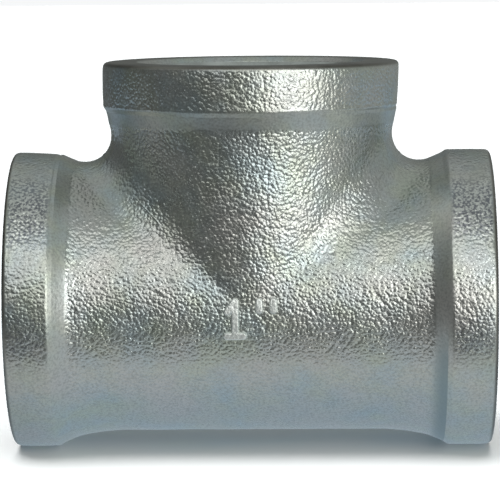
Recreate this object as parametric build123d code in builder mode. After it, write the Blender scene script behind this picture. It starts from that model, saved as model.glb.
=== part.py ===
"""Banded female pipe tee, nominal size DN 25 (1 inch), in galvanised malleable iron.

The run lies along X and the branch points up along +Z. The tee stands on its two run bands, with
the origin on the ground below the crossing of the two axes.

The real fitting is one casting, so every piece here is a region of it: the barrel with its neck,
the three reinforcing bands, the three threaded socket linings and the raised size mark. The
regions meet face to face, so together they fill exactly the metal of the casting.
"""

import os
from math import radians, sqrt, tan

from build123d import *

# Driving dimensions of the casting, in millimetres
centre_to_face = 38.0  # from the axes' crossing to each end face
band_radius = 23.7
band_width = 7.7
barrel_radius = 21.15
neck_radius = 21.05
waterway_radius = 17.4  # cored bore, and the seat of each threaded lining
barrel_flare = 17.0  # radius of the shallow hollow that widens the barrel towards its bands
neck_flare = 25.0  # the same on the neck
flare_end_radius = 23.35  # where each hollow meets the side of its band
junction_radius = 4.8  # hollow blend between run and branch
rim_round = 1.3  # outer edge of each end face
band_edge_round = 0.3  # inner edge of each band
mouth_radius = 18.2  # widest part of the 45 degree mouth chamfer, in the end face

# Parallel pipe thread with 11 threads an inch and a 55 degree form
thread_pitch = 25.4 / 11
thread_crest_radius = 30.84 / 2  # the tapping bore, which truncates the crests
thread_root_radius = 33.249 / 2
thread_root_flat = thread_pitch / 6
thread_half_angle = radians(27.5)
socket_depth = 18.5  # from an end face to the inner end of its lining
plain_depth = 3.0  # untapped length at that inner end

# Raised size mark on the front of the barrel: a figure one and two inch ticks
mark_relief = 0.45
mark_height = 6.6
mark_stroke = 1.1
mark_top = 2.6  # above the run's axis
mark_left = -4.2
figure_width = 3.8
flag_reach = 1.7  # from the stem's centre to the flag's tip
flag_drop = 1.8
tick_height = 2.6
tick_start = 5.6  # from the figure's left edge to the first tick's centre
tick_gap = 2.2

# Worked out from the above
run_height = band_radius
band_start = centre_to_face - band_width
lining_start = centre_to_face - socket_depth
lining_mouth = centre_to_face - (mouth_radius - waterway_radius)
uncut_mouth = centre_to_face + 3  # length of a lining before its mouth is cut back

crossing = Location((0, 0, run_height))
left_socket = crossing * Location((0, 0, 0), (0, -90, 0))
right_socket = crossing * Location((0, 0, 0), (0, 90, 0))
branch_socket = crossing


def flared_wall(wall_radius, flare_radius):
    """Solid of revolution about Z, from the crossing to the band, with the hollow at its end."""
    rise = flare_end_radius - wall_radius
    flare_length = sqrt(2 * flare_radius * rise - rise**2)
    with BuildPart() as wall:
        with BuildSketch(Plane.XZ):
            with BuildLine():
                side = Line((wall_radius, 0), (wall_radius, band_start - flare_length))
                hollow = RadiusArc(side @ 1, (flare_end_radius, band_start), flare_radius)
                Polyline(hollow @ 1, (0, band_start), (0, 0), side @ 0)
            make_face()
        revolve(axis=Axis.Z)
    return wall.part


def reinforcing_band():
    """Ring about Z at the end of a socket, with the outer part of the mouth chamfer."""
    with BuildPart() as band:
        with BuildSketch(Plane.XZ) as section:
            with BuildLine():
                Polyline(
                    (waterway_radius, band_start),
                    (band_radius, band_start),
                    (band_radius, centre_to_face),
                    (mouth_radius, centre_to_face),
                    (waterway_radius, lining_mouth),
                    close=True,
                )
            make_face()
            outer_corners = section.vertices().group_by(Axis.X)[-1].sort_by(Axis.Y)
            fillet(outer_corners[0], band_edge_round)
            fillet(section.vertices().sort_by_distance((band_radius, centre_to_face))[0], rim_round)
        revolve(axis=Axis.Z)
    return band.part


def thread_groove():
    """Helical cutter about Z that leaves the thread form in a socket lining."""
    groove_start = lining_start + plain_depth + thread_pitch / 2
    groove_length = uncut_mouth - thread_pitch - groove_start
    inner_reach = -0.3  # inside the crests, so that the cut breaks through
    root_reach = thread_root_radius - thread_crest_radius
    inner_half = thread_root_flat / 2 + (root_reach - inner_reach) * tan(thread_half_angle)
    with BuildPart() as groove:
        with BuildLine():
            path = Helix(thread_pitch, groove_length, thread_crest_radius, center=(0, 0, groove_start))
        with BuildSketch(Plane(origin=path @ 0, x_dir=(1, 0, 0), z_dir=path % 0)):
            with BuildLine():
                Polyline(
                    (inner_reach, -inner_half),
                    (root_reach, -thread_root_flat / 2),
                    (root_reach, thread_root_flat / 2),
                    (inner_reach, inner_half),
                    close=True,
                )
            make_face()
        sweep(path=path, is_frenet=True)
    return groove.part


def socket_lining():
    """Threaded ring about Z: plain bore at its inner end, thread, then the mouth chamfer."""
    with BuildPart() as lining:
        with BuildSketch(Plane.XY.offset(lining_start)):
            Circle(waterway_radius)
            Circle(thread_crest_radius, mode=Mode.SUBTRACT)
        extrude(amount=uncut_mouth - lining_start)
        add(thread_groove(), mode=Mode.SUBTRACT)
        with BuildSketch(Plane.XZ):
            with BuildLine():
                Polyline(
                    (0, lining_mouth - waterway_radius),
                    (0, uncut_mouth),
                    (waterway_radius + uncut_mouth - lining_mouth, uncut_mouth),
                    close=True,
                )
            make_face()
        revolve(axis=Axis.Z, mode=Mode.SUBTRACT)
    return lining.part


def raised_on_barrel(outline):
    """Pad with the given outline, seen from the front, standing evenly on the curved barrel."""
    front = Plane(origin=(0, 0, run_height), x_dir=(1, 0, 0), z_dir=(0, -1, 0))
    barrel_length = 2 * lining_start
    with BuildPart() as pad:
        with BuildSketch(front):
            add(outline)
        extrude(amount=barrel_radius + 1)
        with Locations(crossing):
            Cylinder(barrel_radius + mark_relief, barrel_length, rotation=(0, 90, 0), mode=Mode.INTERSECT)
            Cylinder(barrel_radius, barrel_length, rotation=(0, 90, 0), mode=Mode.SUBTRACT)
    return pad.part


# Cored waterway, through the run and up the branch
with BuildPart() as waterway:
    with Locations(crossing):
        Cylinder(waterway_radius, 2 * band_start, rotation=(0, 90, 0))
        Cylinder(waterway_radius, band_start, align=(Align.CENTER, Align.CENTER, Align.MIN))

# Barrel and neck: one hollow quarter with its blended junction, mirrored into the whole
with BuildPart() as tee_body:
    with Locations(right_socket):
        add(flared_wall(barrel_radius, barrel_flare))
    with Locations(branch_socket):
        add(flared_wall(neck_radius, neck_flare))
    split(bisect_by=Plane.YZ)
    split(bisect_by=Plane.XZ)
    fillet(tee_body.edges().filter_by(GeomType.BSPLINE), junction_radius)
    add(waterway.part, mode=Mode.SUBTRACT)
    mirror(about=Plane.XZ)
    mirror(about=Plane.YZ)

# Reinforcing bands
band = reinforcing_band()
with BuildPart() as left_band:
    with Locations(left_socket):
        add(band)
with BuildPart() as right_band:
    with Locations(right_socket):
        add(band)
with BuildPart() as branch_band:
    with Locations(branch_socket):
        add(band)

# Threaded socket linings
lining = socket_lining()
with BuildPart() as left_thread:
    with Locations(left_socket):
        add(lining)
with BuildPart() as right_thread:
    with Locations(right_socket):
        add(lining)
with BuildPart() as branch_thread:
    with Locations(branch_socket):
        add(lining)

# Figure one: a stem with a short flag at its top and a foot
with BuildSketch() as figure_outline:
    stem_centre = mark_left + figure_width / 2
    with Locations((stem_centre, mark_top - mark_height / 2)):
        Rectangle(mark_stroke, mark_height)
    with Locations((stem_centre, mark_top - mark_height)):
        Rectangle(figure_width, mark_stroke, align=(Align.CENTER, Align.MIN))
    flag_end = (stem_centre - flag_reach, mark_top - flag_drop)
    with BuildLine():
        Polyline(
            (stem_centre, mark_top),
            flag_end,
            (flag_end[0], flag_end[1] - mark_stroke),
            (stem_centre, mark_top - 1.4 * mark_stroke),
            close=True,
        )
    make_face()
size_mark_figure = raised_on_barrel(figure_outline.sketch)

# Inch ticks
tick_marks = []
for tick_number in range(2):
    with BuildSketch() as tick_outline:
        with Locations((mark_left + tick_start + tick_number * tick_gap, mark_top - tick_height / 2)):
            Rectangle(mark_stroke, tick_height)
    tick_marks.append(raised_on_barrel(tick_outline.sketch))

pieces = {
    "tee_body": tee_body.part,
    "left_band": left_band.part,
    "right_band": right_band.part,
    "branch_band": branch_band.part,
    "left_thread": left_thread.part,
    "right_thread": right_thread.part,
    "branch_thread": branch_thread.part,
    "size_mark_figure": size_mark_figure,
    "size_mark_tick_left": tick_marks[0],
    "size_mark_tick_right": tick_marks[1],
}

os.makedirs("parts", exist_ok=True)
for name, piece in pieces.items():
    piece.label = name
    export_step(piece, f"parts/{name}.step")
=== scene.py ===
"""Galvanised malleable iron pipe tee: cast skin, bands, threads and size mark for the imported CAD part.

Shapes are worked out in millimetres from the crossing of the run and branch axes, with X along the
run, Y away from the size mark and Z up the branch. They become metres in the row frame when a mesh
is made. A socket is described about its own axis, by radius, angle and depth from the crossing.
"""

from math import ceil, pi, radians, tan

import bmesh
import bpy
import numpy as np
from mathutils import Matrix, Vector, noise


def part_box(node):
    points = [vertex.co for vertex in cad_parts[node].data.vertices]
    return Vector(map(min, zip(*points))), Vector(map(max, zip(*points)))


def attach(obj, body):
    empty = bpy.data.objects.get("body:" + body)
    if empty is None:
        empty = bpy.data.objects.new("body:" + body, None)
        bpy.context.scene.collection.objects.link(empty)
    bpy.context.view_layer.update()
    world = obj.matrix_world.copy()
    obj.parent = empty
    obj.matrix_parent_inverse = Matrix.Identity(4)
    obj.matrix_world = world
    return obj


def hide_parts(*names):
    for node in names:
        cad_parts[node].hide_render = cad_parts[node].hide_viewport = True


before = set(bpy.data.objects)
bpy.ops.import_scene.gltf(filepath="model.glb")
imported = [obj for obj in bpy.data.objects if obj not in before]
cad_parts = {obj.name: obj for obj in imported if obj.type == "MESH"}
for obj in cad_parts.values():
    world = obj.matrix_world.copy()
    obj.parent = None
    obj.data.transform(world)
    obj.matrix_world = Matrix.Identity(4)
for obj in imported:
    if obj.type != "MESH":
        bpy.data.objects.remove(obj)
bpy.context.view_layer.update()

MM = 0.001

# ---------------------------------------------------------------------------
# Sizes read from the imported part
# ---------------------------------------------------------------------------

band_low, band_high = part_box("right_band")
lining_low, lining_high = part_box("right_thread")

crossing = Vector((0, 0, (band_low.z + band_high.z) / 2))
face_depth = band_high.x / MM
band_depth = band_low.x / MM
band_radius = (band_high.z - band_low.z) / 2 / MM
lining_depth = lining_low.x / MM
lining_mouth = lining_high.x / MM
waterway_radius = (lining_high.z - lining_low.z) / 2 / MM

# ---------------------------------------------------------------------------
# Shape of the casting
# ---------------------------------------------------------------------------

BARREL_RADIUS = 21.2
HOLLOW_START = 20.0  # depth where the wall starts to widen towards its band
HOLLOW_RADIUS = 32.0
FRONT_FLATTENING = 0.55  # how much less the wall widens at its front and back
NECK_DRAFT = 0.024  # widening of the neck for each millimetre up from the run's axis
COLLAR_DEPTH = 28.2  # where the smooth, steeper collar beside the band begins
COLLAR_BEND = 0.35  # length over which the wall bends into the collar
COLLAR_END_RADIUS = 23.15  # where the collar meets the side of its band
JUNCTION_RADIUS = 6.4  # hollow blend between run and branch, at the saddle
BLEND_FADE = 1.6  # how fast the blend tightens from the saddle to the front
WATERWAY_JUNCTION = 1.6  # rounded edge where the cored waterways meet

BAND_CROWN = 0.08  # the band is this much lower at its edges than in its middle
BAND_SHOULDER = 0.75  # width of the soft corner that carries the collar's slope on into the band
BAND_SHOULDER_ROUND = 0.95
FETTLING = {"left": 0.45, "right": 0.0, "branch": 0.45}  # ground off the band's inner edge at angle 0
RIM_ROUND = 1.05  # outer corner of the band and its end face
CHAMFER_ROUND = 0.12  # corner of the end face and the mouth chamfer
CHAMFER_DEPTH = face_depth - lining_mouth
CHAMFER_RADIUS = waterway_radius + CHAMFER_DEPTH

RELIEF_LAYERS = ((0.055, 5.5), (0.02, 1.5), (0.012, 0.7))  # height and size of the skin's unevenness
RELIEF_INSET = 0.05  # keeps the uneven skin inside the nominal wall
COLLAR_CALM = 0.8  # share of the unevenness that the smooth collar lacks

THREAD_PITCH = 25.4 / 11
CREST_RADIUS = 15.42
ROOT_RADIUS = 16.62
ROOT_FLAT = THREAD_PITCH / 6
FLANK_ANGLE = 27.5
FLANK_LENGTH = (ROOT_RADIUS - CREST_RADIUS) * tan(radians(FLANK_ANGLE))
FLANK_ROUNDING = 0.55  # 0 for straight flanks and 1 for fully S-shaped ones
PLAIN_DEPTH = 3.0  # unthreaded inner end of the lining

MARK_RELIEF = 0.5
MARK_HALF_STROKE = 0.4
MARK_SLOPE = 0.42  # width of the soft edge of a stroke
MARK_SINK = 0.3  # how far the foot of a stroke's soft edge lies inside the wall
MARK_BASE = 3  # the mark's base lies this many times as deep
MARK_MARGIN = 0.95  # mesh around the ends of the strokes
MARK_CLEARANCE = 0.25  # keeps the soft edge of a stroke inside its node's box
FLAG_INSET = 0.1  # the figure's flag ends this far in from the box
FLAG_DROP = 1.5  # and this far below the top of the stem

# Mesh fineness
BODY_COLUMNS = 86  # to a quarter turn
BRANCH_ROWS = 80
RUN_ROWS = 88
BORE_ROWS = 7
BAND_COLUMNS = 640
BAND_POINT_GAP = 0.3
THREAD_COLUMNS = 400
THREAD_ROW = 0.105
MARK_POINT_GAP = 0.07

# Working of the meshes
SHARP_EDGE_ANGLE = 50
QUARTER_ARC = 1.6  # length of a rounded corner for each unit of its radius
CORNER_GAP = 0.5  # gap between points on a rounded corner, as a share of the gap elsewhere
WELD_DECIMALS = 4  # points that agree to this many decimals are one point
SURFACE_STEPS = 12  # repeats that bring a point onto the blended surface
SLOPE_NUDGE = 1e-4  # step over which the distance field's slope is measured
LEAST_SLOPE = 1e-6
LEAST_BLEND = 1e-6
TINY = 1e-9  # keeps a division clear of zero on an axis
NOISE_STEPS = (17.3, 5.9, 31.7)  # moves the noise of one seed away from that of the next

# Where the skin and its coat change: each pair is where a change starts and where it is complete
COLLAR_EDGE = (COLLAR_DEPTH - 0.3, COLLAR_DEPTH + 0.3)
BODY_END = (band_depth - 1.0, band_depth - 0.1)
SHOULDER_HEIGHT = (9.0, 15.0)  # the upper flanks of the blend between run and branch
SHOULDER_REACH = (17.0, 21.0)
UNDERSIDE = (5.5, 9.0)  # below the run's axis
# Painted shade: the coat is darkened on the lower part of the right collar
COLLAR_SHADE_DEPTH = (COLLAR_DEPTH - 0.9, COLLAR_DEPTH + 1.5)  # the lower part of the right collar
COLLAR_SHADE_DROP = (1.0, 8.0)
BAND_OUTSIDE = (COLLAR_END_RADIUS, band_radius - 0.1)
SKIN_RADIUS = (COLLAR_END_RADIUS, band_radius - 0.4)  # the uneven cast outside of a band
SKIN_INNER_EDGE = (band_depth + 0.4, band_depth + 1.4)
SKIN_OUTER_EDGE = (face_depth - 0.9, face_depth - 0.4)
CUT_DEPTH = (face_depth - 0.7, face_depth - 0.25)  # the machined end face outside the mouth chamfer
CUT_RADIUS = (CHAMFER_RADIUS - 0.1, CHAMFER_RADIUS + 0.1)
# Painted reflection: dark and bright speckle on the front of the side bands, standing for a dark patch of
# the room that they mirror, and its glints
MOTTLE_BOTTOM = (8.0, 14.0)  # above the run's axis, on the side bands
MOTTLE_TOP = (17.0, 23.0)
MOTTLE_FRONT = (4.0, 9.0)  # in front of the run's axis
# Painted shade: small dark pits in the side bands where they mirror the room's dark belt
BELT_TOP = (-2.0, 1.0)  # below the run's axis, on the side bands
BELT_BOTTOM = (5.0, 8.0)

MOTTLE_RAGGEDNESS = 2.0  # how far the edge of the mottling strays
MOTTLE_EDGE_SIZE = 3.0  # size of the bays in that edge
MOTTLE_SEED = 4

# Strength of the grain, from 0 for smooth to 1 for the cast wall
COLLAR_SMOOTHING = 0.85
SHOULDER_SMOOTHING = 0.35
UNDERSIDE_SMOOTHING = 0.4
BAND_EDGE_GRAIN = 0.1
BAND_GRAIN = 0.7  # what the cast outside of a band has on top of that
MARK_GRAIN = 0.4

SOCKETS = {
    "left": Matrix.Rotation(radians(-90), 3, "Y"),
    "right": Matrix.Rotation(radians(90), 3, "Y"),
    "branch": Matrix.Identity(3),
}


def smooth_step(value, low, high):
    """0 below low, 1 above high and an S-shaped rise between them."""
    share = np.clip((value - low) / (high - low), 0, 1)
    return share * share * (3 - 2 * share)


# ---------------------------------------------------------------------------
# Meshes
# ---------------------------------------------------------------------------


def grid_faces(rows, columns, closed_rows=False, closed_columns=False):
    """Quads of a grid of points numbered row by row. A closed direction joins its end to its start."""
    row_count = rows if closed_rows else rows - 1
    column_count = columns if closed_columns else columns - 1
    row, column = np.meshgrid(np.arange(row_count), np.arange(column_count), indexing="ij")
    next_row = (row + 1) % rows
    next_column = (column + 1) % columns
    corners = (
        row * columns + column,
        row * columns + next_column,
        next_row * columns + next_column,
        next_row * columns + column,
    )
    return np.stack(corners, axis=-1).reshape(-1, 4)


def welded(points, faces):
    """The same faces with points that coincide made one."""
    keys = np.round(points, WELD_DECIMALS)
    first, number = np.unique(keys, axis=0, return_index=True, return_inverse=True)[1:]
    return points[first], number.reshape(-1)[faces]


def new_mesh(name, points, faces):
    """Closed mesh from points in millimetres about the crossing, with its faces turned outwards."""
    mesh = bpy.data.meshes.new(name)
    mesh.from_pydata((points * MM + np.array(crossing)).tolist(), [], faces.tolist())
    shell = bmesh.new()
    shell.from_mesh(mesh)
    bmesh.ops.recalc_face_normals(shell, faces=shell.faces)
    shell.to_mesh(mesh)
    shell.free()
    mesh.update()
    return mesh


def local_points(mesh):
    """The mesh's points in millimetres about the crossing."""
    flat = np.zeros(len(mesh.vertices) * 3)
    mesh.vertices.foreach_get("co", flat)
    return (flat.reshape(-1, 3) - np.array(crossing)) / MM


def move_along_normals(mesh, distance):
    """Moves each point outwards by its distance in millimetres."""
    normals = np.zeros(len(mesh.vertices) * 3)
    mesh.vertex_normals.foreach_get("vector", normals)
    moved = local_points(mesh) + normals.reshape(-1, 3) * distance[:, None]
    mesh.vertices.foreach_set("co", (moved * MM + np.array(crossing)).ravel())
    mesh.update()


def add_attribute(mesh, name, values):
    """Gives each point a number, which the materials read by its name."""
    attribute = mesh.attributes.new(name, "FLOAT", "POINT")
    attribute.data.foreach_set("value", values.astype(np.float32))


def add_piece(name, mesh, material, material_slot, *nodes):
    """Puts a finished mesh in the scene, standing for the given CAD nodes."""
    mesh.polygons.foreach_set("use_smooth", [True] * len(mesh.polygons))
    mesh.set_sharp_from_angle(angle=radians(SHARP_EDGE_ANGLE))
    mesh.materials.append(material)
    piece = bpy.data.objects.new(name, mesh)
    bpy.context.scene.collection.objects.link(piece)
    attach(piece, "root")
    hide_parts(*nodes)


def noise_field(points, size, seed):
    """Smooth noise from -1 to 1 at each point, with features of about the given size."""
    shift = Vector([seed * step for step in NOISE_STEPS])
    return np.array([noise.noise(Vector(point) / size + shift) for point in points])


def cast_relief(points):
    """Unevenness of the sand-cast skin in millimetres, which lies just inside the nominal wall."""
    layers = []
    for seed, (height, size) in enumerate(RELIEF_LAYERS, start=1):
        layers.append(height * noise_field(points, size, seed))
    return sum(layers) - RELIEF_INSET


def underside_grain(height):
    """Strength of the grain at a height above the run's axis. The skin is smoother low down."""
    return 1 - UNDERSIDE_SMOOTHING * smooth_step(-height, *UNDERSIDE)


# ---------------------------------------------------------------------------
# Barrel and neck
# ---------------------------------------------------------------------------


def flared_radius(base, depth, frontness):
    """Radius of a wall that widens in a shallow hollow and then a steeper collar up to its band.

    The depth is from the crossing along the axis. Frontness is 1 at the front and back, and 0 at the
    sides and the top.
    """

    def hollow(place):
        along = np.clip(place - HOLLOW_START, 0, None)
        rise = HOLLOW_RADIUS - np.sqrt(HOLLOW_RADIUS**2 - along**2)
        return base + rise * (1 - FRONT_FLATTENING * frontness)

    def ramp(place):
        past_bend = place - COLLAR_DEPTH
        return past_bend + np.hypot(past_bend, COLLAR_BEND)

    collar_rise = COLLAR_END_RADIUS - hollow(band_depth)
    return hollow(depth) + collar_rise * ramp(depth) / ramp(band_depth)


def barrel_wall(points):
    """Outer radius of the barrel at each point's depth and direction."""
    x, y, z = points[..., 0], points[..., 1], points[..., 2]
    return flared_radius(BARREL_RADIUS, np.abs(x), y * y / np.maximum(y * y + z * z, TINY))


def neck_wall(points):
    """Outer radius of the neck, which also has some draft."""
    x, y, z = points[..., 0], points[..., 1], points[..., 2]
    drafted = BARREL_RADIUS + NECK_DRAFT * np.clip(z, 0, HOLLOW_START)
    return flared_radius(drafted, np.abs(z), y * y / np.maximum(y * y + x * x, TINY))


def waterway_wall(points):
    """Radius of the cored waterways, which is the same all along."""
    return np.full(points.shape[:-1], waterway_radius)


def joined_tubes(points, run_wall, branch_wall, junction_radius):
    """Signed distance to two crossing tubes whose hollow blend fades where their walls run together."""
    x, y, z = points[..., 0], points[..., 1], points[..., 2]
    run_reach = np.hypot(y, z)
    branch_reach = np.hypot(x, y)
    from_run = run_reach - run_wall(points)
    from_branch = branch_reach - branch_wall(points)
    alignment = y * y / np.maximum(run_reach * branch_reach, TINY)
    blend = junction_radius * (1 - alignment**2) ** BLEND_FADE + LEAST_BLEND
    inside_blend = np.hypot(np.maximum(blend - from_run, 0), np.maximum(blend - from_branch, 0))
    return np.maximum(blend, np.minimum(from_run, from_branch)) - inside_blend


def pulled_to_surface(points, *shape):
    """Points moved down the distance field's slope until they lie on the blended surface."""
    for step in range(SURFACE_STEPS):
        distance = joined_tubes(points, *shape)
        slope = np.zeros_like(points)
        for axis in range(3):
            ahead = points.copy()
            behind = points.copy()
            ahead[..., axis] += SLOPE_NUDGE
            behind[..., axis] -= SLOPE_NUDGE
            rise = joined_tubes(ahead, *shape)
            fall = joined_tubes(behind, *shape)
            slope[..., axis] = (rise - fall) / (2 * SLOPE_NUDGE)
        steepness = np.maximum((slope**2).sum(axis=-1), LEAST_SLOPE)
        points = points - slope * (distance / steepness)[..., None]
    return points


def around_axis(wall, direction, along):
    """Points at the wall's radius. The direction has unit parts across the axis and a depth along it."""
    points = np.stack(np.broadcast_arrays(*direction), axis=-1)
    reach = wall(points)[..., None] * np.ones(3)
    reach[..., along] = 1
    return points * reach


def quarter_grids(run_wall, branch_wall, junction_radius, branch_rows, run_rows):
    """Front right quarter of a tee-shaped wall: branch, upper run and lower run, as grids of points.

    Columns follow the angle about the tube's axis, and rows run from the seam out to the bands.
    """
    shape = (run_wall, branch_wall, junction_radius)
    angle = np.linspace(0, pi / 2, BODY_COLUMNS + 1)[:, None]
    seam = BARREL_RADIUS * np.cos(angle)

    share = np.linspace(0, 1, branch_rows + 1)[None, :]
    height = seam + (band_depth - seam) * share
    branch = around_axis(branch_wall, (np.cos(angle), -np.sin(angle), height), along=2)
    branch = pulled_to_surface(branch, *shape)

    share = np.linspace(0, 1, run_rows + 1)[None, :]
    depth = seam + (band_depth - seam) * share
    upper = around_axis(run_wall, (depth, -np.sin(angle), np.cos(angle)), along=0)
    upper = pulled_to_surface(upper, *shape)

    depth = band_depth * share + 0 * angle
    lower = around_axis(run_wall, (depth, -np.cos(angle), -np.sin(angle)), along=0)

    # Edges lie exactly on the planes of symmetry, and grids share the points where they meet
    branch[0, :, 1] = 0
    branch[-1, :, 0] = 0
    upper[:, 0] = branch[:, 0]
    upper[0, :, 1] = 0
    lower[0] = upper[-1]
    lower[:, 0, 0] = 0
    lower[-1, :, 1] = 0
    return branch, upper, lower


def tee_wall(outer, inner):
    """Closed hollow tee from the outer and inner grids of one quarter, mirrored to all four."""
    grids = list(outer) + list(inner)
    for outer_grid, inner_grid in zip(outer, inner):
        grids.append(np.stack([outer_grid[:, -1], inner_grid[:, -1]], axis=1))
    points = []
    faces = []
    count = 0
    for mirror_x in (1, -1):
        for mirror_y in (1, -1):
            for grid in grids:
                rows, columns = grid.shape[:2]
                points.append(grid.reshape(-1, 3) * (mirror_x, mirror_y, 1))
                faces.append(grid_faces(rows, columns) + count)
                count += rows * columns
    return welded(np.concatenate(points), np.concatenate(faces))


def body_grain(points, collar):
    """Strength of the grain on the body: low on the collars, and less on the blend's upper flanks."""
    shoulder = smooth_step(points[:, 2], *SHOULDER_HEIGHT)
    shoulder *= smooth_step(np.abs(points[:, 0]), *SHOULDER_REACH)
    grain = (1 - COLLAR_SMOOTHING * collar) * (1 - SHOULDER_SMOOTHING * shoulder)
    return grain * underside_grain(points[:, 2])


def make_body(material):
    """Barrel, neck and waterways between the bands, smoother on the collars."""
    outer = quarter_grids(barrel_wall, neck_wall, JUNCTION_RADIUS, BRANCH_ROWS, RUN_ROWS)
    inner = quarter_grids(waterway_wall, waterway_wall, WATERWAY_JUNCTION, BORE_ROWS, BORE_ROWS)
    mesh = new_mesh("cast_body", *tee_wall(outer, inner))
    points = local_points(mesh)
    depth = np.maximum(np.abs(points[:, 0]), points[:, 2])
    collar = smooth_step(depth, *COLLAR_EDGE)
    away_from_bands = 1 - smooth_step(depth, *BODY_END)
    # Painted shade on the lower part of the right collar
    lower_right_shade = smooth_step(points[:, 0], *COLLAR_SHADE_DEPTH) * smooth_step(-points[:, 2], *COLLAR_SHADE_DROP)
    move_along_normals(mesh, cast_relief(points) * (1 - COLLAR_CALM * collar) * away_from_bands)
    add_attribute(mesh, "grain", body_grain(points, collar))
    add_attribute(mesh, "collar_painted_shade", lower_right_shade)
    add_piece("cast_body", mesh, material, "cast_wall", "tee_body")


# ---------------------------------------------------------------------------
# Rings about a socket's axis
# ---------------------------------------------------------------------------


def rounded_loop(corners, spacing):
    """Closed outline through (radius, depth, rounding) corners, with points about spacing apart."""
    outline = []
    count = len(corners)
    ends = []
    for number in range(count):
        before = Vector(corners[number - 1][:2])
        corner = Vector(corners[number][:2])
        after = Vector(corners[(number + 1) % count][:2])
        rounding = corners[number][2]
        inward = (before - corner).normalized()
        outward = (after - corner).normalized()
        half_angle = inward.angle(outward) / 2
        reach = rounding / tan(half_angle)
        ends.append((corner + inward * reach, corner, corner + outward * reach, rounding))
    for number in range(count):
        start, corner, finish, rounding = ends[number]
        turn = max(int(ceil(rounding * QUARTER_ARC / (spacing * CORNER_GAP))), 1) if rounding else 0
        for step in range(turn):
            share = step / turn
            curve = start * (1 - share) ** 2 + corner * 2 * share * (1 - share) + finish * share**2
            outline.append(curve)
        following = ends[(number + 1) % count][0]
        pieces = max(int(round((following - finish).length / spacing)), 1)
        for step in range(pieces):
            outline.append(finish.lerp(following, step / pieces))
    return np.array([tuple(point) for point in outline])


def turned(reach, angle, depth, socket):
    """Points of a socket from radius, angle and depth, turned to face along that socket."""
    points = np.stack([reach * np.cos(angle), reach * np.sin(angle), depth], axis=-1)
    return points @ np.array(SOCKETS[socket]).T


def band_outline():
    """Section of a band as radius and depth, closed along the waterway."""
    corners = [
        (waterway_radius, band_depth, 0),
        (COLLAR_END_RADIUS, band_depth, 0),
        (band_radius, band_depth + BAND_SHOULDER, BAND_SHOULDER_ROUND),
        (band_radius, face_depth, RIM_ROUND),
        (CHAMFER_RADIUS, face_depth, CHAMFER_ROUND),
        (waterway_radius, lining_mouth, 0),
    ]
    return rounded_loop(corners, BAND_POINT_GAP)


def band_grid(socket):
    """Radius, angle and depth of the band's points, with its crown and the metal ground off it."""
    outline = band_outline()
    angle = np.linspace(0, 2 * pi, BAND_COLUMNS, endpoint=False)
    reach, turn = np.meshgrid(outline[:, 0], angle, indexing="ij")
    depth = np.meshgrid(outline[:, 1], angle, indexing="ij")[0]
    middle = (band_depth + face_depth) / 2
    half_width = (face_depth - band_depth) / 2
    outside = smooth_step(reach, *BAND_OUTSIDE)
    crown = BAND_CROWN * ((depth - middle) / half_width) ** 2
    upward = np.clip(np.cos(turn), 0, 1) ** 2
    ground = FETTLING[socket] * upward * (face_depth - depth) / (2 * half_width)
    return reach - outside * (crown + ground), turn, depth


def painted_reflection_top(points):
    """1 on the front of a side band above the axis, with an uneven edge, where painted reflection mottles
    the coat.
    """
    height = points[:, 2] + MOTTLE_RAGGEDNESS * noise_field(points, MOTTLE_EDGE_SIZE, MOTTLE_SEED)
    mottled_reflection = smooth_step(height, *MOTTLE_BOTTOM) * (1 - smooth_step(height, *MOTTLE_TOP))
    return mottled_reflection * smooth_step(-points[:, 1], *MOTTLE_FRONT)


def painted_shade_belt(points):
    """1 on a side band around the axis and just below it, where painted shade puts small dark pits in the
    coat.
    """
    drop = -points[:, 2]
    return smooth_step(drop, *BELT_TOP) * (1 - smooth_step(drop, *BELT_BOTTOM))


def make_band(socket, material):
    """Raised band around a socket, cast on its outside and machined on its end face."""
    reach, turn, depth = band_grid(socket)
    points = turned(reach, turn, depth, socket).reshape(-1, 3)
    faces = grid_faces(*reach.shape, closed_rows=True, closed_columns=True)
    name = socket + "_band_casting"
    mesh = new_mesh(name, points, faces)

    reach = reach.ravel()
    depth = depth.ravel()
    cast = smooth_step(reach, *SKIN_RADIUS) * smooth_step(depth, *SKIN_INNER_EDGE)
    cast *= 1 - smooth_step(depth, *SKIN_OUTER_EDGE)
    machined = smooth_step(depth, *CUT_DEPTH) * smooth_step(reach, *CUT_RADIUS)
    move_along_normals(mesh, cast_relief(points) * cast)
    add_attribute(mesh, "grain", BAND_EDGE_GRAIN + BAND_GRAIN * cast * underside_grain(points[:, 2]))
    add_attribute(mesh, "machined", machined)
    if socket != "branch":
        add_attribute(mesh, "mottled_reflection", cast * painted_reflection_top(points))
        add_attribute(mesh, "belt_painted_shade", cast * painted_shade_belt(points))
    add_piece(name, mesh, material, "cast_band", socket + "_band")


def thread_radius(depth, angle):
    """Radius of the threaded bore: crests, rounded 55 degree flanks and roots, then the mouth chamfer."""
    turns = (depth - lining_depth) / THREAD_PITCH - angle / (2 * pi)
    from_root = np.abs(turns - np.floor(turns) - 0.5) * THREAD_PITCH
    flank = np.clip((from_root - ROOT_FLAT / 2) / FLANK_LENGTH, 0, 1)
    straight = 1 - FLANK_ROUNDING
    rounded = straight * flank + FLANK_ROUNDING * flank * flank * (3 - 2 * flank)
    run_out = smooth_step(depth, lining_depth + PLAIN_DEPTH, lining_depth + PLAIN_DEPTH + THREAD_PITCH)
    groove = (ROOT_RADIUS - CREST_RADIUS) * (1 - rounded) * run_out
    chamfer = waterway_radius - (lining_mouth - depth)
    return np.maximum(CREST_RADIUS + groove, chamfer)


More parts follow.
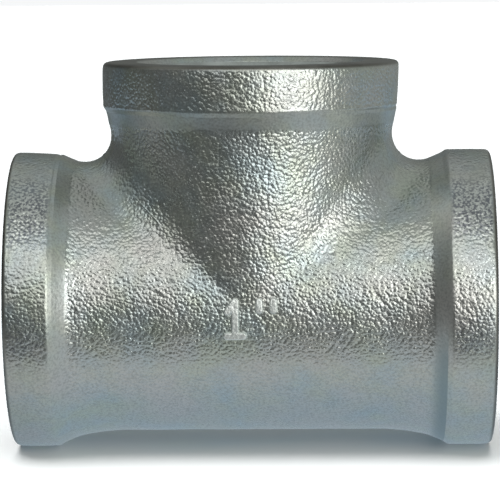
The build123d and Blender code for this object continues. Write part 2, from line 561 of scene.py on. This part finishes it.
def make_thread(socket, material):
    """Threaded lining of a socket, out to the waterway's radius."""
    rows = int(round((lining_mouth - lining_depth) / THREAD_ROW))
    depth = np.linspace(lining_depth, lining_mouth, rows + 1)
    angle = np.linspace(0, 2 * pi, THREAD_COLUMNS, endpoint=False)
    depth, angle = np.meshgrid(depth, angle, indexing="ij")
    reach = thread_radius(depth, angle)
    reach = np.concatenate([reach, np.full_like(reach[:1], waterway_radius)])
    depth = np.concatenate([depth, depth[:1]])
    angle = np.concatenate([angle, angle[:1]])
    points = turned(reach, angle, depth, socket).reshape(-1, 3)
    faces = grid_faces(*reach.shape, closed_rows=True, closed_columns=True)
    name = socket + "_thread_lining"
    mesh = new_mesh(name, points, faces)
    add_piece(name, mesh, material, "machined_thread", socket + "_thread")


# ---------------------------------------------------------------------------
# Size mark
# ---------------------------------------------------------------------------


def distance_to_strokes(x, z, strokes):
    """Distance from each place to the nearest straight stroke."""
    nearest = np.full(x.shape, np.inf)
    for (start_x, start_z), (end_x, end_z) in strokes:
        across = end_x - start_x
        down = end_z - start_z
        share = ((x - start_x) * across + (z - start_z) * down) / (across**2 + down**2)
        share = np.clip(share, 0, 1)
        gap = np.hypot(x - start_x - share * across, z - start_z - share * down)
        nearest = np.minimum(nearest, gap)
    return nearest


def stroke_area(strokes):
    """X and Z of evenly spaced places that cover the strokes and the wall just around them."""
    ends = np.array(strokes).reshape(-1, 2)
    sides = []
    for low, high in zip(ends.min(axis=0) - MARK_MARGIN, ends.max(axis=0) + MARK_MARGIN):
        sides.append(np.linspace(low, high, int((high - low) / MARK_POINT_GAP) + 1))
    return np.meshgrid(*sides, indexing="ij")


def grid_edge(grid):
    """Points around the edge of a grid, each once and in order."""
    return np.concatenate([grid[:, 0], grid[-1, 1:], grid[-2::-1, -1], grid[0, -2:0:-1]])


def padded_sheet(top, base):
    """Closed solid between two grids of points."""
    side = np.stack([grid_edge(top), grid_edge(base)], axis=0)
    rows, columns = top.shape[:2]
    points = [top.reshape(-1, 3), base.reshape(-1, 3), side.reshape(-1, 3)]
    faces = [
        grid_faces(rows, columns),
        grid_faces(rows, columns) + rows * columns,
        grid_faces(2, side.shape[1], closed_columns=True) + 2 * rows * columns,
    ]
    return welded(np.concatenate(points), np.concatenate(faces))


def make_mark(name, node, strokes, material):
    """Soft-edged raised strokes on the front of the barrel, whose base is sunk in the wall."""
    x, z = stroke_area(strokes)
    gap = distance_to_strokes(x, z, strokes)
    fall = smooth_step(gap, MARK_HALF_STROKE, MARK_HALF_STROKE + MARK_SLOPE)
    lift = MARK_RELIEF - (MARK_RELIEF + MARK_SINK) * fall
    wall = np.stack([x, -np.sqrt(BARREL_RADIUS**2 - z**2), z], axis=-1).reshape(-1, 3)
    outward = wall * (0, 1, 1) / BARREL_RADIUS
    lift = lift.ravel() + cast_relief(wall)
    top = (wall + outward * lift[:, None]).reshape(*x.shape, 3)
    base = (wall - outward * MARK_BASE * MARK_SINK).reshape(*x.shape, 3)
    mesh = new_mesh(name, *padded_sheet(top, base))
    count = len(mesh.vertices)
    add_attribute(mesh, "grain", np.full(count, MARK_GRAIN))
    # Brighter zinc on the raised strokes: partly rubbed wear, partly a painted highlight
    add_attribute(mesh, "rubbed_highlight", np.ones(count))
    add_piece(name, mesh, material, "cast_mark", node)


def mark_strokes():
    """The figure one and its two inch ticks, each as strokes inside its CAD node's box."""
    edge = MARK_HALF_STROKE + MARK_CLEARANCE
    low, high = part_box("size_mark_figure")
    left = low.x / MM + edge
    right = high.x / MM - edge
    bottom = (low.z - crossing.z) / MM + edge
    top = (high.z - crossing.z) / MM - edge
    stem = (left + right) / 2
    flag = (left + FLAG_INSET, top - FLAG_DROP)
    figure = [((stem, top), (stem, bottom)), ((stem, top), flag), ((left, bottom), (right, bottom))]
    strokes = {"size_mark_figure": figure}
    for node in ("size_mark_tick_left", "size_mark_tick_right"):
        low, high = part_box(node)
        middle = (low.x + high.x) / 2 / MM
        bottom = (low.z - crossing.z) / MM + edge
        strokes[node] = [((middle, top), (middle, bottom))]
    return strokes


# ---------------------------------------------------------------------------
# Materials
# ---------------------------------------------------------------------------


BLUISH_ZINC = (0.51, 0.58, 0.605, 1)
GREENISH_ZINC = (0.56, 0.60, 0.53, 1)
PALE_ZINC = (0.615, 0.60, 0.585, 1)
DULL_ZINC = (0.33, 0.34, 0.33, 1)
# Painted shade for the lower part of the right collar
COLLAR_SHADE_ZINC = (0.29, 0.35, 0.37, 1)
# Painted shade and painted reflection: dark speckle and pits on the side bands
PAINTED_DARK_ZINC = (0.16, 0.165, 0.21, 1)
# Painted glints in the speckle on the side bands
PAINTED_GLINT_ZINC = (0.80, 0.82, 0.80, 1)
# Raised mark: partly rubbed wear, partly a painted highlight
RUBBED_HIGHLIGHT_ZINC = (0.92, 0.94, 0.93, 1)
DARK_CUT_IRON = (0.15, 0.14, 0.125, 1)
PALE_CUT_IRON = (0.26, 0.25, 0.23, 1)
DARK_CUT_ZINC = (0.46, 0.48, 0.47, 1)
PALE_CUT_ZINC = (0.66, 0.69, 0.68, 1)

# Sizes in the coat and the skin, in millimetres
PATCH_SIZE = 9.0
HUE_SIZE = 5.0
SPECKLE_SIZE = 0.35
MOTTLE_SIZE = 0.4
SHEEN_SIZE = 2.2
GRAIN_CELL = 0.5  # spacing of the pebbles in the cast skin
GRAIN_SWELL = 0.3  # size of the swells that make the pebbles uneven
GRAIN_HEIGHT = 0.19
TOOL_MARK_SIZE = 0.5
TOOL_MARK_HEIGHT = 0.02
THREAD_PATCH_SIZE = 4.0
THREAD_SHEEN_SIZE = 1.0
THREAD_MARK_SIZE = 0.3
THREAD_MARK_HEIGHT = 0.03
THREAD_MARK_STRENGTH = 0.8

# Strengths in the coat and the skin
# Share of the painted shade on the lower right collar
COLLAR_SHADE_SHARE = 0.85
# Share of the painted reflection speckle on the side bands
MOTTLE_SHARE = 0.75
PEBBLE_POWER = 1.6  # makes the pebbles round domes
PEBBLE_SOFTNESS = 0.5
PEBBLE_SHARE = 0.66
SWELL_SHARE = 0.32
RUBBED_ROUGHNESS = 0.42
CUT_ROUGHNESS = 0.34


class Nodes:
    """Short ways to add and join the nodes of one material or world."""

    def __init__(self, tree):
        self.tree = tree
        tree.nodes.clear()

    def add(self, kind, settings=None, **inputs):
        """Adds a node. An input that is a socket is linked, and any other is set."""
        node = self.tree.nodes.new(kind)
        for name, value in (settings or {}).items():
            setattr(node, name, value)
        for name, value in inputs.items():
            self.join(node.inputs[name.replace("_", " ")], value)
        return node

    def join(self, place, value):
        """Links a socket to the given input, or sets the input to a plain value."""
        if isinstance(value, bpy.types.NodeSocket):
            self.tree.links.new(value, place)
        else:
            place.default_value = value

    def math(self, operation, *values):
        node = self.add("ShaderNodeMath", {"operation": operation})
        for place, value in zip(node.inputs, values):
            self.join(place, value)
        return node.outputs[0]

    def range(self, value, low, high, to_low, to_high, smooth=False):
        """The value's place between low and high, carried over to the second range and held in it."""
        kind = "SMOOTHSTEP" if smooth else "LINEAR"
        node = self.add("ShaderNodeMapRange", {"interpolation_type": kind, "clamp": True})
        for place, number in zip(node.inputs, (value, low, high, to_low, to_high)):
            self.join(place, number)
        return node.outputs[0]

    def noise(self, vector, size, detail=2.0, roughness=0.5):
        """Noise from 0 to 1 with features of the given size in millimetres."""
        node = self.add(
            "ShaderNodeTexNoise",
            {"noise_dimensions": "3D"},
            Vector=vector,
            Scale=1 / (size * MM),
            Detail=detail,
            Roughness=roughness,
        )
        return node.outputs[0]

    def mix_colour(self, share, first, second):
        """Mixes two colours. The node has inputs for other kinds of value too, which stay unused."""
        node = self.add("ShaderNodeMix", {"data_type": "RGBA"})
        colours = [place for place in node.inputs if place.type == "RGBA"]
        self.join(node.inputs[0], share)
        self.join(colours[0], first)
        self.join(colours[1], second)
        return next(place for place in node.outputs if place.type == "RGBA")

    def mix_shader(self, share, first, second):
        node = self.add("ShaderNodeMixShader")
        for place, value in zip(node.inputs, (share, first, second)):
            self.join(place, value)
        return node.outputs[0]

    def attribute(self, name):
        return self.add("ShaderNodeAttribute", {"attribute_name": name}).outputs["Fac"]


def new_material(name):
    material = bpy.data.materials.new(name)
    material.use_nodes = True
    return material, Nodes(material.node_tree)


def finish_metal(n, colour, roughness, bump):
    """Ends a material as bare metal with the given colour, roughness and bump."""
    surface = n.add("ShaderNodeBsdfPrincipled", Base_Color=colour, Roughness=roughness, Metallic=1.0)
    n.join(surface.inputs["Normal"], bump.outputs[0])
    n.add("ShaderNodeOutputMaterial", Surface=surface.outputs[0])


def coat_colour(n, place, patches):
    """Bluish, greenish and pale zinc under a fine dull speckle, with painted shade darkening the lower
    part of the right collar.
    """
    hue = n.noise(place, HUE_SIZE)
    speckle = n.noise(place, SPECKLE_SIZE, detail=1.0)
    coat = n.mix_colour(n.range(hue, 0.38, 0.62, 0, 1), BLUISH_ZINC, GREENISH_ZINC)
    coat = n.mix_colour(n.range(patches, 0.35, 0.7, 0, 1), coat, PALE_ZINC)
    coat = n.mix_colour(n.range(speckle, 0.42, 0.7, 0, 0.5), coat, DULL_ZINC)
    # Painted shade: the lower part of the right collar is darkened
    return n.mix_colour(n.math("MULTIPLY", n.attribute("collar_painted_shade"), COLLAR_SHADE_SHARE), coat, COLLAR_SHADE_ZINC)


def marked_coat(n, place, coat):
    """The coat with painted reflection (dark and bright speckle) on the front of the side bands above the
    axis, and painted shade (small dark pits) in their belt around and just below the axis.
    """
    noise_level = n.noise(place, MOTTLE_SIZE, detail=1.0)
    # Painted reflection: dark and bright speckle
    reflection_speckle = n.mix_colour(n.range(noise_level, 0.41, 0.59, 0, 1), PAINTED_DARK_ZINC, PAINTED_GLINT_ZINC)
    coat = n.mix_colour(n.math("MULTIPLY", n.attribute("mottled_reflection"), MOTTLE_SHARE), coat, reflection_speckle)
    # Painted shade: dark pits in the band's belt
    shade_pits = n.math("MULTIPLY", n.range(noise_level, 0.38, 0.5, 0.5, 0), n.attribute("belt_painted_shade"))
    return n.mix_colour(shade_pits, coat, PAINTED_DARK_ZINC)


def coat_roughness(n, place, grain, rubbed_highlight, machined):
    """Uneven sheen of the coat. Where there is no grain, the coat itself is rougher."""
    sheen = n.range(n.noise(place, SHEEN_SIZE, detail=3.0), 0.3, 0.7, 0.23, 0.34)
    roughness = n.math("MAXIMUM", sheen, n.range(grain, 0.15, 0.6, 0.4, 0.2))
    roughness = n.range(rubbed_highlight, 0, 1, roughness, RUBBED_ROUGHNESS)
    return n.range(machined, 0, 1, roughness, CUT_ROUGHNESS)


def pebbled_bump(n, place, grain):
    """Round pebbles of uneven height, as deep as the grain is strong."""
    cells = n.add(
        "ShaderNodeTexVoronoi",
        {"feature": "SMOOTH_F1"},
        Vector=place,
        Scale=1 / (GRAIN_CELL * MM),
        Smoothness=PEBBLE_SOFTNESS,
    )
    pebbles = n.math("MULTIPLY", n.math("POWER", cells.outputs[0], PEBBLE_POWER), -PEBBLE_SHARE)
    swell = n.math("MULTIPLY", n.noise(place, GRAIN_SWELL, detail=1.0, roughness=0.4), SWELL_SHARE)
    depth = n.math("MULTIPLY", grain, GRAIN_HEIGHT * MM)
    height = n.math("ADD", pebbles, swell)
    return n.add("ShaderNodeBump", Height=height, Strength=1.0, Distance=depth)


def zinc_material(name):
    """Zinc over a cast skin, with darker and browner machined faces, raised marks in brighter zinc that is
    partly rubbed wear and partly a painted highlight, and painted shade and painted reflection on the
    right collar and the side bands.
    """
    material, n = new_material(name)
    place = n.add("ShaderNodeTexCoord").outputs["Object"]
    grain = n.attribute("grain")
    rubbed_highlight = n.attribute("rubbed_highlight")
    machined = n.attribute("machined")

    patches = n.noise(place, PATCH_SIZE, detail=3.0)
    coat = marked_coat(n, place, coat_colour(n, place, patches))
    # The raised mark in brighter zinc: partly rubbed wear, partly a painted highlight
    coat = n.mix_colour(rubbed_highlight, coat, RUBBED_HIGHLIGHT_ZINC)
    cut_iron = n.mix_colour(n.range(patches, 0.4, 0.6, 0, 1), DARK_CUT_IRON, PALE_CUT_IRON)
    colour = n.mix_colour(machined, coat, cut_iron)

    pebbled = pebbled_bump(n, place, grain)
    tool_marks = n.noise(place, TOOL_MARK_SIZE)
    bump = n.add(
        "ShaderNodeBump",
        Height=tool_marks,
        Distance=TOOL_MARK_HEIGHT * MM,
        Strength=machined,
        Normal=pebbled.outputs[0],
    )
    finish_metal(n, colour, coat_roughness(n, place, grain, rubbed_highlight, machined), bump)
    return material


def thread_material(name):
    """Cut thread under a thin zinc coat, with brighter and duller patches and fine tool marks."""
    material, n = new_material(name)
    place = n.add("ShaderNodeTexCoord").outputs["Object"]
    patches = n.noise(place, THREAD_PATCH_SIZE, detail=3.0)
    colour = n.mix_colour(n.range(patches, 0.35, 0.65, 0, 1), DARK_CUT_ZINC, PALE_CUT_ZINC)
    roughness = n.range(n.noise(place, THREAD_SHEEN_SIZE, detail=3.0), 0.3, 0.7, 0.24, 0.4)
    tool_marks = n.noise(place, THREAD_MARK_SIZE)
    bump = n.add(
        "ShaderNodeBump",
        Height=tool_marks,
        Distance=THREAD_MARK_HEIGHT * MM,
        Strength=THREAD_MARK_STRENGTH,
    )
    finish_metal(n, colour, roughness, bump)
    return material


# ---------------------------------------------------------------------------
# Studio, in metres
# ---------------------------------------------------------------------------


FLOOR_REACH = 4.0
FLOOR_COLOUR = (0.86, 0.87, 0.88, 1)
SHEET_FRONT_COLOUR = (0.94, 1.0, 1.0, 1)
SHEET_BACK_COLOUR = (0.80, 0.98, 1.12, 1)
LIGHT_TARGET = (0, 0, 0.04)
MIRRORED_COLOUR = (0.965, 1.03, 0.99, 1)
BACKDROP_COLOUR = (0.93, 0.94, 0.95, 1)

SUN_STRENGTH = 3.2
SUN_SPREAD = 50  # degrees, like all angles here
SUN_TILT = 12
SUN_LEAN = -8

CAMERA_DISTANCE = 0.442
CAMERA_LENS = 197.8  # millimetres, like the width of the sensor
CAMERA_SENSOR = 36
CAMERA_NEAR = 0.01
CAMERA_ROLL = -0.493
CAMERA_TILT = 6.125
CAMERA_SWING = -1.318
AIM_LEFT = 0.00046  # how far the camera aims to the left of the crossing
AIM_UP = 0.00762  # and above it


def stage_plane(name, low, high):
    """Flat rectangle of the studio at floor height, which isn't part of the object."""
    mesh = bpy.data.meshes.new(name)
    corners = [(low[0], low[1], 0), (high[0], low[1], 0), (high[0], high[1], 0), (low[0], high[1], 0)]
    mesh.from_pydata(corners, [], [(0, 1, 2, 3)])
    plane = bpy.data.objects.new(name, mesh)
    bpy.context.scene.collection.objects.link(plane)
    return plane


def make_floor():
    """Pale matt floor. The metal doesn't mirror it, and mirrors the reflector sheet in its place."""
    floor = stage_plane("floor", (-FLOOR_REACH, -FLOOR_REACH), (FLOOR_REACH, FLOOR_REACH))
    material, n = new_material("pale_floor")
    shade = n.add("ShaderNodeBsdfDiffuse", Color=FLOOR_COLOUR)
    n.add("ShaderNodeOutputMaterial", Surface=shade.outputs[0])
    floor.data.materials.append(material)
    floor.visible_glossy = False
    floor.visible_shadow = False


def make_reflector():
    """Bluish glowing sheet under the tee, which only the metal mirrors. It fades out in front."""
    sheet = stage_plane("reflector_sheet", (-0.30, -0.08), (0.30, 0.30))
    material, n = new_material("reflector_glow")
    place = n.add("ShaderNodeTexCoord").outputs["Object"]
    x, y = n.add("ShaderNodeSeparateXYZ", Vector=place).outputs[:2]
    front_fade = n.range(y, -0.054, -0.035, 0, 1, smooth=True)
    left_fade = n.range(x, -0.038, -0.027, 0.87, 1, smooth=True)
    back = n.range(y, -0.035, -0.005, 0, 1, smooth=True)
    colour = n.mix_colour(back, SHEET_FRONT_COLOUR, SHEET_BACK_COLOUR)
    strength = n.math("MULTIPLY", left_fade, n.range(back, 0, 1, 0.60, 0.49))
    glow = n.add("ShaderNodeEmission", Color=colour, Strength=strength)
    clear = n.add("ShaderNodeBsdfTransparent")
    surface = n.mix_shader(front_fade, clear.outputs[0], glow.outputs[0])
    n.add("ShaderNodeOutputMaterial", Surface=surface)
    sheet.data.materials.append(material)
    sheet.visible_camera = False
    sheet.visible_diffuse = False
    sheet.visible_shadow = False


def area_light(name, place, width, height, radiance, colour):
    """Rectangular light that faces the tee. The metal mirrors it at the given radiance."""
    light = bpy.data.lights.new(name, "AREA")
    light.shape = "RECTANGLE"
    light.size = width
    light.size_y = height
    light.energy = radiance * pi * width * height
    light.color = colour
    lamp = bpy.data.objects.new(name, light)
    lamp.location = place
    lamp.rotation_euler = (Vector(LIGHT_TARGET) - Vector(place)).to_track_quat("-Z", "Y").to_euler()
    lamp.visible_camera = False
    bpy.context.scene.collection.objects.link(lamp)


def make_floor_sun():
    """Soft sun that lights only the matt floor."""
    light = bpy.data.lights.new("floor_sun", "SUN")
    light.energy = SUN_STRENGTH
    light.angle = radians(SUN_SPREAD)
    lamp = bpy.data.objects.new("floor_sun", light)
    lamp.rotation_euler = (radians(SUN_TILT), radians(SUN_LEAN), 0)
    lamp.visible_glossy = False
    bpy.context.scene.collection.objects.link(lamp)


def make_lights():
    """Softboxes to the right of the camera and above it, and the floor's sun."""
    area_light(
        "softbox",
        place=(0.255, -0.39, 0.083),
        width=0.345,
        height=0.28,
        radiance=2.05,
        colour=(1.0, 1.01, 0.96),
    )
    area_light(
        "upper_softbox",
        place=(-0.045, -0.42, 0.33),
        width=0.55,
        height=0.34,
        radiance=0.88,
        colour=(1.0, 1.01, 0.97),
    )
    make_floor_sun()


def mirrored_level(n):
    """Brightness of the room that the metal mirrors, by direction: x right, y back and z up."""
    toward = n.add("ShaderNodeTexCoord").outputs["Generated"]
    x, y, z = n.add("ShaderNodeSeparateXYZ", Vector=toward).outputs
    side = n.range(x, -0.5, 0.9, 0.12, 0.36, smooth=True)
    front = n.range(y, -0.9, -0.2, 0.07, 0, smooth=True)
    front = n.math("MULTIPLY", front, n.range(z, -0.1, 0.25, 0, 1, smooth=True))
    above = n.range(z, 0.15, 0.85, 0, 0.43, smooth=True)
    below = n.range(z, -0.6, -0.2, 1, 0, smooth=True)
    below = n.math("MULTIPLY", below, n.range(x, 0.12, 0.5, 0.10, 0.60, smooth=True))
    return n.math("MAXIMUM", n.math("ADD", side, front), n.math("MAXIMUM", above, below))


def make_world():
    """Pale to the camera. The metal mirrors a room that is darker on the left, lighter right and above."""
    world = bpy.data.worlds.new("studio")
    world.use_nodes = True
    n = Nodes(world.node_tree)
    mirrored = n.add("ShaderNodeBackground", Color=MIRRORED_COLOUR, Strength=mirrored_level(n))
    seen = n.add("ShaderNodeBackground", Color=BACKDROP_COLOUR, Strength=1.0)
    from_camera = n.add("ShaderNodeLightPath").outputs["Is Camera Ray"]
    surface = n.mix_shader(from_camera, mirrored.outputs[0], seen.outputs[0])
    n.add("ShaderNodeOutputWorld", Surface=surface)
    bpy.context.scene.world = world


def make_camera():
    """Long lens nearly square to the front, from a little above the run."""
    roll = Matrix.Rotation(radians(CAMERA_ROLL), 3, "Y")
    tilt = Matrix.Rotation(radians(CAMERA_TILT), 3, "X")
    swing = Matrix.Rotation(radians(CAMERA_SWING), 3, "Z")
    right, forward, up = (roll @ tilt @ swing).row
    target = crossing - right * AIM_LEFT + up * AIM_UP
    place = target - forward * CAMERA_DISTANCE
    data = bpy.data.cameras.new("camera")
    data.lens = CAMERA_LENS
    data.sensor_width = CAMERA_SENSOR
    data.clip_start = CAMERA_NEAR
    camera = bpy.data.objects.new("camera", data)
    camera.matrix_world = Matrix.Translation(place) @ Matrix((right, up, -forward)).transposed().to_4x4()
    bpy.context.scene.collection.objects.link(camera)
    bpy.context.scene.camera = camera


# ---------------------------------------------------------------------------
# Everything together
# ---------------------------------------------------------------------------

zinc = zinc_material("zinc_on_cast_iron")
cut_thread = thread_material("zinc_on_cut_thread")

make_body(zinc)
for socket in SOCKETS:
    make_band(socket, zinc)
    make_thread(socket, cut_thread)
for node, strokes in mark_strokes().items():
    make_mark(node + "_casting", node, strokes, zinc)

make_floor()
make_reflector()
make_lights()
make_world()
make_camera()
bpy.context.scene.view_settings.view_transform = "Standard"
